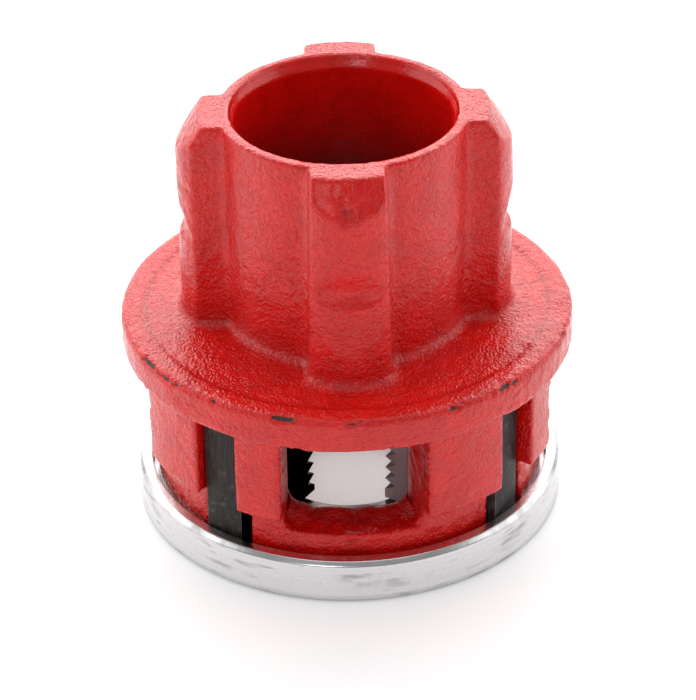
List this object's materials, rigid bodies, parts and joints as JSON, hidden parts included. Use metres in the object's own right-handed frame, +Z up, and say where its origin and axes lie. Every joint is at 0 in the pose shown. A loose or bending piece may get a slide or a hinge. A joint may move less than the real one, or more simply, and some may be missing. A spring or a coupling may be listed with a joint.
{
  "type": "pipe threader die head",
  "caption": "Round cast die head for a hand ratchet pipe threader, with drive lugs, radial thread dies in slots, chip windows and a screwed steel face plate",
  "frame": {"origin": "centre of the face plate's underside, on the tool's axis, at the surface it stands on", "axes": "+Z is up, along the tool's axis from the face plate to the drive hub; a drive lug points along each of +X, +Y, -X and -Y; the side seen in front faces -Y"},
  "size_m": [0.061, 0.061, 0.0588],
  "materials": {
    "red_casting": "glossy red paint over rough sand-cast iron",
    "plated_steel": "bright zinc-plated turned steel",
    "black_oxide_die": "black oxide tool steel with grinding marks",
    "screw_steel": "dark zinc-plated steel"
  },
  "bodies": {
    "face_plate": {"face_plate": "plated_steel"},
    "die_head": {"die_head_body": "red_casting"},
    "die_1": {"die_1": "black_oxide_die"},
    "die_2": {"die_2": "black_oxide_die"},
    "die_3": {"die_3": "black_oxide_die"},
    "die_4": {"die_4": "black_oxide_die"},
    "screw_1": {"plate_screw_1": "screw_steel"},
    "screw_2": {"plate_screw_2": "screw_steel"},
    "screw_3": {"plate_screw_3": "screw_steel"},
    "screw_4": {"plate_screw_4": "screw_steel"}
  },
  "joints": [
    {"name": "head_lift", "type": "slide", "parent": "face_plate", "child": "die_head", "axis": [0, 0, 1], "range_m": [0, 0.0105]},
    {"name": "die_1_slide", "type": "slide", "parent": "die_head", "child": "die_1", "axis": [-0.5621, -0.8271, 0], "range_m": [0, 0.0016]},
    {"name": "die_2_slide", "type": "slide", "parent": "die_head", "child": "die_2", "axis": [0.8271, -0.5621, 0], "range_m": [0, 0.0016]},
    {"name": "die_3_slide", "type": "slide", "parent": "die_head", "child": "die_3", "axis": [0.5621, 0.8271, 0], "range_m": [0, 0.0016]},
    {"name": "die_4_slide", "type": "slide", "parent": "die_head", "child": "die_4", "axis": [-0.8271, 0.5621, 0], "range_m": [0, 0.0016]},
    {"name": "screw_1_turn", "type": "hinge", "parent": "face_plate", "child": "screw_1", "pos_m": [0.01107, -0.01843, 0.007], "axis": [0, 0, -1], "range_deg": [0, 5400]},
    {"name": "screw_2_turn", "type": "hinge", "parent": "face_plate", "child": "screw_2", "pos_m": [0.01843, 0.01107, 0.007], "axis": [0, 0, -1], "range_deg": [0, 5400]},
    {"name": "screw_3_turn", "type": "hinge", "parent": "face_plate", "child": "screw_3", "pos_m": [-0.01107, 0.01843, 0.007], "axis": [0, 0, -1], "range_deg": [0, 5400]},
    {"name": "screw_4_turn", "type": "hinge", "parent": "face_plate", "child": "screw_4", "pos_m": [-0.01843, -0.01107, 0.007], "axis": [0, 0, -1], "range_deg": [0, 5400]}
  ],
  "couplings": [
    {"joint": "screw_1_turn", "follows": "head_lift", "rad_per_m": 8976},
    {"joint": "screw_2_turn", "follows": "head_lift", "rad_per_m": 8976},
    {"joint": "screw_3_turn", "follows": "head_lift", "rad_per_m": 8976},
    {"joint": "screw_4_turn", "follows": "head_lift", "rad_per_m": 8976}
  ]
}
